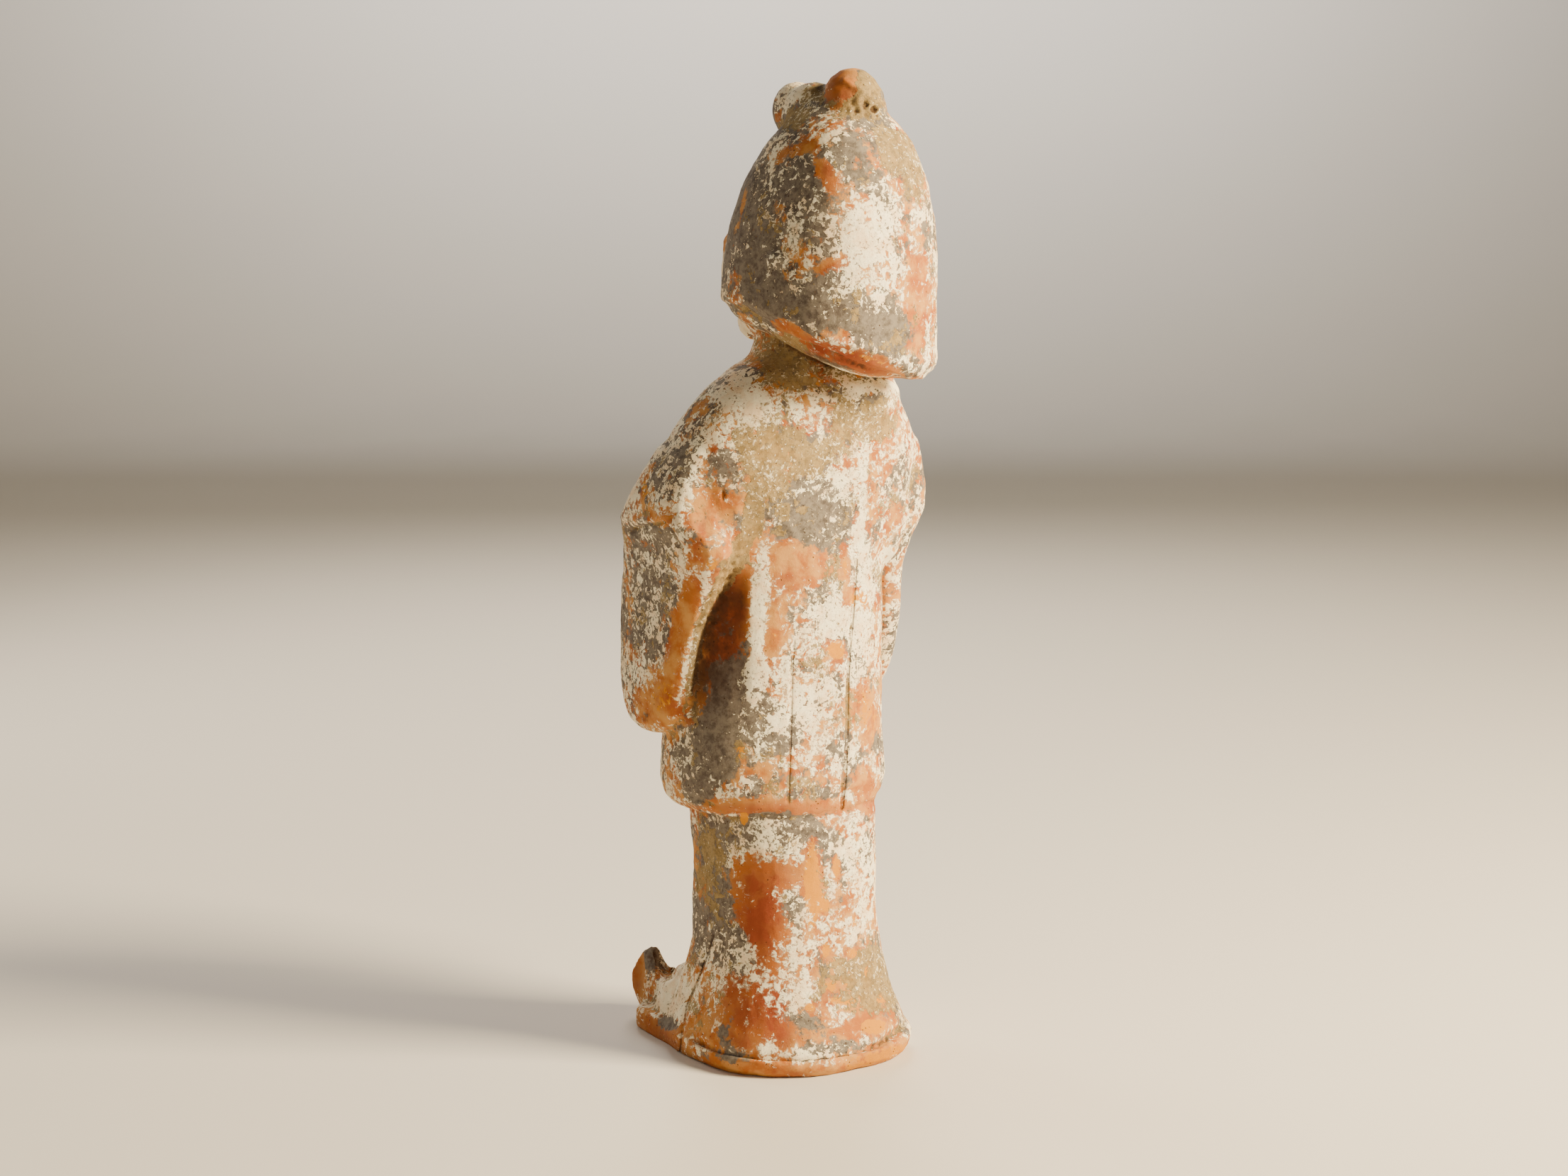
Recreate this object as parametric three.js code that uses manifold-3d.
// A standing pottery lady with a hood of swept-up hair, a knee-length tunic with long hanging sleeves,
// a flared skirt and upturned shoes. Millimetres, +Z up, the figure facing -Y with its left hand at +X.
import * as THREE from "three";
import { mergeVertices } from "three/addons/utils/BufferGeometryUtils.js";
import Module from "manifold-3d";

const wasm = await Module();
wasm.setup();

// Driving heights above the table
const TOTAL_HEIGHT = 399.2;
const BAND_HEIGHT = 9;
const HEM_HEIGHT = 106;
const SLEEVE_TIP_HEIGHT = 133;
const ELBOW_HEIGHT = 226;
const NECK_HEIGHT = 286;
const CHIN_HEIGHT = 292;
const NAPE_HEIGHT = 280;
const HAIR_TOP = 388;

// Driving sizes of the big forms, measured from the upright axis
const BASE_SIDE = 47;
const BASE_BACK = 52;
const BASE_FRONT = 54;
const SKIRT_RADIUS = 36;
const TUNIC_SIDE = 45.5;
const TUNIC_BACK = 40;
const TUNIC_LEFT = 4;
const ELBOW_SIDE = 49;
const FOOT_SPREAD = 30;

// The head stands a little behind the axis and looks a little to the figure's left
const NECK_BACK = 7.5;
const NECK_RADIUS = 15;
const HEAD_TURN_DEGREES = 14;
const HAIR_SIDE = 39.3;
const HAIR_DEEP = 40.2;
const HAIR_BACK = 19.5;
const HAIR_SHOULDER = 315;

// Lines pressed into the clay
const PANEL_HALF = 12.5;
const LINE_DEPTH = 1.3;
const LINE_WIDTH = 1.7;

// Facets round the big forms and round the small ones, and how square the rings are
const ROUND = 40;
const SMALL_ROUND = 18;
const SQUARE = 2.3;
const SKIRT_SQUARE = 2.42;
const HAIR_SQUARE = 2.6;
const SLEEVE_SQUARE = 2.8;

const CLAY = { color: 0xc98a62, roughness: 0.9, metalness: 0 };

// Each station of a stacked form: its height, the side, back and front reach of its ring, and the
// ring's middle, given as its place to the left and to the back of the axis.
const SKIRT = [
  { z: 0, side: BASE_SIDE - 1.5, back: BASE_BACK - 1.5, front: BASE_FRONT - 6 },
  { z: 2.5, side: BASE_SIDE + 0.3, back: BASE_BACK + 1, front: BASE_FRONT - 5 },
  { z: BAND_HEIGHT - 1, side: BASE_SIDE + 1.6, back: BASE_BACK + 2.8, front: BASE_FRONT - 6 },
  { z: BAND_HEIGHT + 2, side: BASE_SIDE - 1.2, back: BASE_BACK, front: BASE_FRONT - 8 },
  { z: 15, side: BASE_SIDE - 2.4, back: BASE_BACK - 1.6, front: BASE_FRONT - 9 },
  { z: 22, side: BASE_SIDE - 5, back: BASE_BACK - 5.2, front: BASE_FRONT - 11 },
  { z: 31, side: 40, back: 43.2, front: 39.5 },
  { z: 43, side: 37.4, back: 40.4, front: 36.5 },
  { z: 58, side: SKIRT_RADIUS, back: 38.2, front: 35 },
  { z: 78, side: SKIRT_RADIUS - 0.4, back: SKIRT_RADIUS + 0.6, front: 34.8 },
  { z: HEM_HEIGHT + 8, side: SKIRT_RADIUS + 0.8, back: SKIRT_RADIUS + 0.5, front: 36, left: 1.2 },
];

const TUNIC = [
  { z: HEM_HEIGHT - 2, side: TUNIC_SIDE - 4.5, back: TUNIC_BACK - 4, front: 34 },
  { z: HEM_HEIGHT + 1.5, side: TUNIC_SIDE - 1, back: TUNIC_BACK - 1.2, front: 37 },
  { z: HEM_HEIGHT + 8, side: TUNIC_SIDE + 0.6, back: TUNIC_BACK + 0.6, front: 38.6 },
  { z: HEM_HEIGHT + 22, side: TUNIC_SIDE, back: TUNIC_BACK, front: 38 },
  { z: 158, side: TUNIC_SIDE - 1.5, back: TUNIC_BACK - 0.4, front: 37, left: -0.8 },
  { z: 194, side: TUNIC_SIDE - 2.5, back: TUNIC_BACK - 1, front: 36, left: -2.2 },
  { z: 230, side: TUNIC_SIDE - 2, back: TUNIC_BACK - 1.5, front: 34, left: -4 },
].map((station) => ({ ...station, left: TUNIC_LEFT + (station.left ?? 0), mid: -2.5 }));

const SHOULDERS = [
  { z: 202, side: 41, back: 37, front: 32, mid: -2.5 },
  { z: 215, side: 46.5, back: 38, front: 33, mid: -1.5 },
  { z: 227, side: 52.5, back: 37.4, front: 32, mid: -0.5 },
  { z: 239, side: 56, back: 36, front: 30, mid: 1.5 },
  { z: 249, side: 56, back: 34, front: 28, mid: 3.5 },
  { z: 258, side: 51.5, back: 31.5, front: 25.5, mid: 6 },
  { z: 267, side: 45.5, back: 28, front: 23, mid: 8.5 },
  { z: 275, side: 38.5, back: 24, front: 20, mid: 9 },
  { z: 281, side: 30, back: 20, front: 17, mid: 9 },
  { z: NECK_HEIGHT, side: 18.5, back: 17, front: 15.5, mid: NECK_BACK + 1 },
  { z: NECK_HEIGHT + 6, side: NECK_RADIUS, back: NECK_RADIUS + 1, front: NECK_RADIUS, mid: NECK_BACK },
  { z: NECK_HEIGHT + 20, side: NECK_RADIUS, back: NECK_RADIUS + 1, front: NECK_RADIUS, mid: NECK_BACK },
];

// The cloth that fills the corner between each arm and the back
const BLADE = [
  { z: 196, side: 8, back: 9, front: 8, left: 29, mid: 11 },
  { z: 205, side: 14, back: 15, front: 10, left: 30, mid: 11.5 },
  { z: 215, side: 16.8, back: 17.3, front: 12, left: 30.5, mid: 12 },
  { z: 227, side: 18, back: 17.8, front: 12, left: 31, mid: 12.5 },
  { z: 239, side: 18, back: 17.8, front: 12, left: 31, mid: 13 },
  { z: 250, side: 15.5, back: 16, front: 12, left: 30, mid: 13 },
  { z: 260, side: 10, back: 11, front: 8, left: 28, mid: 13 },
];

// The arm from the tip of its hanging sleeve up to the shoulder. On the figure's left the cloth reaches
// further back by the last number, where it runs into the back.
const ARM = [
  { z: SLEEVE_TIP_HEIGHT, side: 1, back: 2.5, front: 2.5, left: 46.5, mid: -25, full: 5.5 },
  { z: SLEEVE_TIP_HEIGHT + 1.5, side: 2.8, back: 7, front: 7, left: 46.5, mid: -25, full: 8 },
  { z: SLEEVE_TIP_HEIGHT + 4, side: 5, back: 11.5, front: 11.5, left: 46.5, mid: -25, full: 9.5 },
  { z: SLEEVE_TIP_HEIGHT + 9, side: 6.8, back: 16, front: 15.5, left: 46.2, mid: -24.5, full: 9.5 },
  { z: SLEEVE_TIP_HEIGHT + 17, side: 7.8, back: 21, front: 21, left: 46, mid: -23.5, full: 7 },
  { z: 162, side: 8.6, back: 26.5, front: 26, left: 45.2, mid: -22.5, full: 3.5 },
  { z: 180, side: 9.2, back: 32, front: 31, left: 43.8, mid: -21, full: 2.5 },
  { z: 198, side: 10, back: 32.5, front: 31, left: 43, mid: -18.5, full: 8.5 },
  { z: 210, side: 11.5, back: 31, front: 28, left: 44, mid: -14.5, full: 14 },
  { z: 216, side: 13, back: 29, front: 25, left: 46, mid: -11, full: 12 },
  { z: ELBOW_HEIGHT - 4, side: 15, back: 25.5, front: 22, left: ELBOW_SIDE, mid: -8, full: 7 },
  { z: ELBOW_HEIGHT + 4, side: 15.5, back: 22, front: 20, left: ELBOW_SIDE + 0.5, mid: -4, full: 3 },
  { z: 240, side: 15.5, back: 21, front: 19, left: 46, mid: 0 },
  { z: 250, side: 15, back: 20, front: 18, left: 41.5, mid: 3.5 },
  { z: 260, side: 12, back: 17, front: 15, left: 33, mid: 6.5 },
  { z: 266, side: 6, back: 10, front: 10, left: 27, mid: 8 },
];

// The bell of the hair from its crown down to the middle of its underside, as a share of the full
// radius. Heights run from 0 at the lower edge to 1 at the widest part and 2 at the crown.
const HAIR_PROFILE = [
  [0, 2],
  [0.2, 1.98],
  [0.38, 1.925],
  [0.53, 1.85],
  [0.66, 1.765],
  [0.77, 1.64],
  [0.86, 1.51],
  [0.93, 1.35],
  [0.975, 1.17],
  [0.995, 1],
  [1, 0.5],
  [0.998, 0.13],
  [0.968, 0.05],
  [0.935, -0.01],
  [0.89, -0.07],
  [0.8, -0.13],
  [0.55, -0.21],
  [0.3, -0.25],
  [0, -0.27],
];

// The left shoe's toe seen from its side: how far forward and how high each point of its outline is
const TOE_OUTLINE = [
  [40, -2],
  [56, -1],
  [65, 4],
  [70.5, 10.5],
  [72, 17],
  [70, 23],
  [66, 28],
  [60.5, 31],
  [57.5, 30.4],
  [54.5, 26],
  [53, 20],
  [40, 18.5],
];

// A closed three.js geometry as a solid that can be joined and cut.
function solid(geometry) {
  const bare = geometry.clone();
  bare.deleteAttribute("normal");
  bare.deleteAttribute("uv");
  const merged = mergeVertices(bare, 1e-4);
  return new wasm.Manifold(
    new wasm.Mesh({
      numProp: 3,
      vertProperties: merged.attributes.position.array,
      triVerts: new Uint32Array(merged.index.array),
    }),
  );
}

// Moves every vertex of a geometry to the place that a function gives for it.
function reshape(geometry, place) {
  const at = geometry.attributes.position;
  const point = new THREE.Vector3();
  for (let i = 0; i < at.count; i += 1) {
    place(point.fromBufferAttribute(at, i));
    at.setXYZ(i, point.x, point.y, point.z);
  }
  return geometry;
}

// A number raised to a power with its sign kept, which squares up a round outline.
function signedPower(value, power) {
  return Math.sign(value) * Math.abs(value) ** power;
}

// The value of one field of a list of stations, on a smooth curve through them.
function alongStations(stations, field, at) {
  const last = stations.length - 1;
  const i = THREE.MathUtils.clamp(Math.floor(at), 0, last - 1);
  const f = at - i;
  const value = (k) => stations[THREE.MathUtils.clamp(k, 0, last)][field] ?? 0;
  const rise = (k) => (value(k + 1) - value(k - 1)) * (k <= 0 || k >= last ? 1 : 0.5);
  const startShare = 2 * f ** 3 - 3 * f ** 2 + 1;
  const endShare = 1 - startShare;
  const startRise = f ** 3 - 2 * f ** 2 + f;
  const endRise = f ** 3 - f ** 2;
  return startShare * value(i) + endShare * value(i + 1) + startRise * rise(i) + endRise * rise(i + 1);
}

// The place on the ring of a stacked form at a station, an angle and a share of the ring's reach.
function ringPoint(stations, square, at, angle, reach) {
  const field = (name) => alongStations(stations, name, at);
  const across = signedPower(Math.cos(angle), 2 / square) * reach;
  const deep = signedPower(Math.sin(angle), 2 / square) * reach;
  return new THREE.Vector3(
    field("left") + across * field("side"),
    field("mid") + deep * (deep > 0 ? field("back") : field("front")),
    field("z"),
  );
}

// A body of stacked rings through a list of stations.
function stacked(stations, { square = SQUARE, round = ROUND } = {}) {
  const spans = stations.length - 1;
  const unit = new THREE.CylinderGeometry(1, 1, 1, round, spans);
  return reshape(unit, (p) => {
    const at = (p.y + 0.5) * spans;
    p.copy(ringPoint(stations, square, at, Math.atan2(-p.z, p.x), Math.hypot(p.x, p.z)));
  });
}

// An egg-shaped body, with an optional change to each of its points.
function egg(center, radii, { round = SMALL_ROUND, turn = [0, 0, 0], change = (p) => p } = {}) {
  const unit = new THREE.SphereGeometry(1, round, Math.round(round / 2));
  unit.rotateX(Math.PI / 2);
  const tilt = new THREE.Euler(...turn);
  return reshape(unit, (p) => {
    change(p);
    p.multiply(new THREE.Vector3(...radii)).applyEuler(tilt).add(new THREE.Vector3(...center));
  });
}

// A rounded limb along a curve, from one radius to another. A small fullness makes its ends blunt.
function limb(points, radiusStart, radiusEnd, { round = 14, fullness = 0.5 } = {}) {
  const path = new THREE.CatmullRomCurve3(points.map((p) => new THREE.Vector3(...p)));
  const unit = new THREE.SphereGeometry(1, round, round);
  return reshape(unit, (p) => {
    const t = (1 - p.y) / 2;
    const along = path.getTangent(t);
    const sideways = new THREE.Vector3(0, 0, 1).cross(along).normalize();
    const upwards = along.clone().cross(sideways);
    const ring = Math.hypot(p.x, p.z) || 1;
    const radius = THREE.MathUtils.lerp(radiusStart, radiusEnd, t) * ring ** (fullness - 1);
    p.copy(path.getPoint(t).addScaledVector(sideways, p.x * radius).addScaledVector(upwards, p.z * radius));
  });
}

// A line pressed along a stacked form, from one station to another, at an angle on its rings.
function pressedLine(stations, square, from, to, angleAt) {
  const cutter = new THREE.BoxGeometry(LINE_WIDTH, LINE_DEPTH * 4, 1, 1, 1, Math.ceil((to - from) * 2));
  return solid(
    reshape(cutter, (p) => {
      const at = THREE.MathUtils.lerp(from, to, p.z + 0.5);
      const angle = angleAt(at);
      const middle = ringPoint(stations, square, at, angle, 1);
      const outwards = new THREE.Vector3(Math.cos(angle), Math.sin(angle), 0);
      const sideways = new THREE.Vector3(outwards.y, -outwards.x, 0);
      p.copy(middle.addScaledVector(outwards, p.y + LINE_DEPTH).addScaledVector(sideways, p.x));
    }),
  );
}

// The flared skirt, which ends hidden inside the tunic, with the mould's seam down its left side.
function skirt() {
  const cloth = solid(stacked(SKIRT, { square: SKIRT_SQUARE }));
  const seam = pressedLine(SKIRT, SKIRT_SQUARE, -0.2, SKIRT.length - 1.6, () => -0.03);
  return cloth.subtract(seam);
}

// The low slab with squared corners that carries the feet.
function footSlab() {
  const half = BASE_SIDE - 3;
  const outline = new THREE.Shape();
  outline.moveTo(-half, 0);
  outline.lineTo(-half + 1, -BASE_FRONT + 9);
  outline.quadraticCurveTo(-half + 1, -BASE_FRONT, -half + 10, -BASE_FRONT);
  outline.lineTo(half - 10, -BASE_FRONT);
  outline.quadraticCurveTo(half - 1, -BASE_FRONT, half - 1, -BASE_FRONT + 9);
  outline.lineTo(half, 0);
  const rim = { depth: BAND_HEIGHT - 2.5, bevelThickness: 1.5, bevelSize: 1.5, bevelSegments: 2 };
  const slab = new THREE.ExtrudeGeometry(outline, { ...rim, bevelOffset: -1, curveSegments: 5 });
  return solid(slab.translate(0, 0, 1));
}

// A foot under the cloth on the figure's left, with the shoe's hollow toe curling up past the slab.
function leftShoe() {
  const instep = solid(egg([FOOT_SPREAD - 4, -31, 11], [14, 20, 18.5], { round: 14, turn: [0.3, 0, 0] }));
  const outline = new THREE.Shape(TOE_OUTLINE.map(([forward, up]) => new THREE.Vector2(-forward, up)));
  const rim = { depth: 10, bevelThickness: 2, bevelSize: 1.2, bevelOffset: -1.2, bevelSegments: 2 };
  const toe = new THREE.ExtrudeGeometry(outline, rim);
  reshape(toe, (p) => {
    const narrow = 1 - 0.35 * THREE.MathUtils.smoothstep(p.y, 12, 32);
    p.set(FOOT_SPREAD - 4 + (p.z - rim.depth / 2) * narrow, p.x, p.y);
  });
  const inside = egg([FOOT_SPREAD - 4, -53, 28], [4, 11, 8.5], { round: 10, turn: [0.5, 0, 0] });
  return instep.add(solid(toe)).subtract(solid(inside));
}

// The tunic from its rolled hem up to the chest, with the two pressed lines of its back panel.
function tunic() {
  let cloth = solid(stacked(TUNIC));
  for (const side of [-1, 1]) {
    const angleAt = (at) => {
      const reach = (side * PANEL_HALF - alongStations(TUNIC, "left", at)) / alongStations(TUNIC, "side", at);
      return Math.acos(signedPower(reach, SQUARE / 2));
    };
    cloth = cloth.subtract(pressedLine(TUNIC, SQUARE, -0.3, side > 0 ? 3.6 : 5.4, angleAt));
  }
  return cloth;
}

// The left arm with its long sleeve, and the forearm that goes forward to the middle. The fullness is
// the share of the sleeve's further reach to the back.
function leftArm(fullness) {
  const forearm = limb(
    [
      [ELBOW_SIDE + 2, -2, ELBOW_HEIGHT - 2],
      [ELBOW_SIDE - 7, -21, ELBOW_HEIGHT - 3],
      [ELBOW_SIDE - 22, -34, ELBOW_HEIGHT],
      [2, -38, ELBOW_HEIGHT + 4],
    ],
    15,
    14,
    { fullness: 0.42 },
  );
  const stations = ARM.map((station) => ({ ...station, back: station.back + fullness * (station.full ?? 0) }));
  const sleeve = stacked(stations, { square: SLEEVE_SQUARE, round: SMALL_ROUND + 4 });
  reshape(sleeve, (p) => {
    const forwards = Math.max(-20 - p.y, 0) / 30;
    const hanging = 1 - THREE.MathUtils.smoothstep(p.z, ELBOW_HEIGHT - 20, ELBOW_HEIGHT + 10);
    p.x += hanging * (3.2 - 4.5 * forwards ** 2.5);
  });
  return solid(sleeve).add(solid(forearm));
}

// The joined cuffs, where the hands are hidden in front of the chest, with the cloth that hangs from them.
function cuffs() {
  const hands = egg([0, -43, ELBOW_HEIGHT + 2], [17, 12, 14]);
  const drape = egg([0, -39, ELBOW_HEIGHT - 22], [11, 9, 30]);
  return solid(hands).add(solid(drape));
}

// How high the hair's lower edge lies: low at the nape, a little more so on its right, high at the cheeks.
function hairEdge(across, back) {
  const lowSide = 0.34;
  const towardsNape = back * Math.cos(lowSide) - across * Math.sin(lowSide);
  const share = THREE.MathUtils.clamp(towardsNape / 58, 0, 1);
  return NAPE_HEIGHT + 28 * (1 - share) ** 0.75;
}

// The big hood of hair, in the head's own frame with the neck's axis at the origin.
function hair() {
  const profile = HAIR_PROFILE.map(([radius, height]) => new THREE.Vector2(radius, height)).reverse();
  const bell = new THREE.LatheGeometry(profile, ROUND);
  return solid(
    reshape(bell, (p) => {
      const angle = Math.atan2(-p.z, p.x);
      const reach = Math.hypot(p.x, p.z);
      const lean = HAIR_BACK + 8 * Math.max(p.y - 1, 0) ** 1.4;
      const across = signedPower(Math.cos(angle), 2 / HAIR_SQUARE) * reach * HAIR_SIDE;
      const back = lean + signedPower(Math.sin(angle), 2 / HAIR_SQUARE) * reach * HAIR_DEEP;
      const edge = hairEdge(across, back);
      const belly = p.y > 0 ? edge + (HAIR_SHOULDER - edge) * p.y : edge + 60 * p.y;
      const dome = HAIR_SHOULDER + (HAIR_TOP - HAIR_SHOULDER) * (p.y - 1);
      p.set(across, back, p.y > 1 ? dome : belly);
    }),
  );
}

// The topknot: a high rear lobe and a lower one that falls forward, joined by a saddle.
function topknot() {
  const rear = egg([0, 32, TOTAL_HEIGHT - 18.2], [13.2, 13.5, 18.2]);
  const front = egg([-0.5, 2, 382.5], [10, 10.8, 12], { turn: [0.2, 0, 0] });
  const saddle = egg([2, 14, 381], [10.5, 15, 12.8], { round: 14 });
  const collar = egg([1, 24, HAIR_TOP - 9], [16, 23, 8.5], { round: 16 });
  return solid(rear).add(solid(front)).add(solid(saddle)).add(solid(collar));
}

// The shoulders and the neck, with the mass behind the neck that the hair rests on.
function torso() {
  const nape = egg([-14, 12, NAPE_HEIGHT - 12], [29.5, 27, 22]);
  const blade = solid(stacked(BLADE, { round: 16 }));
  return solid(stacked(SHOULDERS)).add(blade).add(blade.mirror([1, 0, 0])).add(solid(nape));
}

// A calm, full face: a rounded skull with cheeks, nose, lips and chin of one simple design.
function face() {
  const skull = egg([0, -2, 321], [27, 28, 33], {
    round: 24,
    change: (p) => {
      p.x *= 1 - 0.26 * Math.max(-p.z, 0) ** 2;
    },
  });
  const cheek = egg([9, -18, 311], [8.7, 8.7, 10], { round: 12 });
  const chin = egg([0, -19.5, CHIN_HEIGHT + 7], [9, 8.5, 8], { round: 12 });
  const nosePath = [
    [0, -27, 335],
    [0, -30.5, 325],
    [0, -31.8, 317.5],
  ];
  const nose = limb(nosePath, 2.4, 4, { round: 10, fullness: 0.65 });
  const lips = egg([0, -27.8, 307.5], [6.2, 3.2, 2.8], { round: 12 });
  const oneCheek = solid(cheek);
  const rest = [chin, nose, lips].reduce((whole, form) => whole.add(solid(form)), solid(skull));
  return rest.add(oneCheek).add(oneCheek.mirror([1, 0, 0]));
}

// The whole head, turned on the neck.
function head() {
  const upright = hair().add(topknot()).add(face());
  return upright.rotate([0, 0, HEAD_TURN_DEGREES]).translate([0, NECK_BACK, 0]);
}

// The whole figure is one fired piece, flat underneath.
function figureSolid() {
  const left = leftShoe().add(leftArm(1));
  const right = leftShoe().add(leftArm(0)).mirror([1, 0, 0]);
  const forms = [tunic(), torso(), footSlab(), cuffs(), left, right, head()];
  const whole = forms.reduce((joined, form) => joined.add(form), skirt());
  const table = new THREE.BoxGeometry(300, 300, 50).translate(0, 0, -25);
  return whole.subtract(solid(table));
}

// A named mesh of a solid.
function namedMesh(name, form) {
  const { vertProperties, triVerts, numProp } = form.getMesh();
  const count = vertProperties.length / numProp;
  const places = new Float32Array(count * 3);
  for (let i = 0; i < count; i += 1) {
    places.set(vertProperties.subarray(i * numProp, i * numProp + 3), i * 3);
  }
  const geometry = new THREE.BufferGeometry();
  geometry.setAttribute("position", new THREE.BufferAttribute(places, 3));
  geometry.setIndex(new THREE.BufferAttribute(triVerts, 1));
  const mesh = new THREE.Mesh(geometry, new THREE.MeshStandardMaterial(CLAY));
  mesh.name = name;
  return mesh;
}

const group = new THREE.Group();
const figure = namedMesh("figure", figureSolid());
group.add(figure);

// The origin is under the middle of the figure's bounding box
const box = new THREE.Box3().setFromObject(figure);
const middle = box.getCenter(new THREE.Vector3());
figure.position.set(-middle.x, -middle.y, -box.min.z);

export default group;
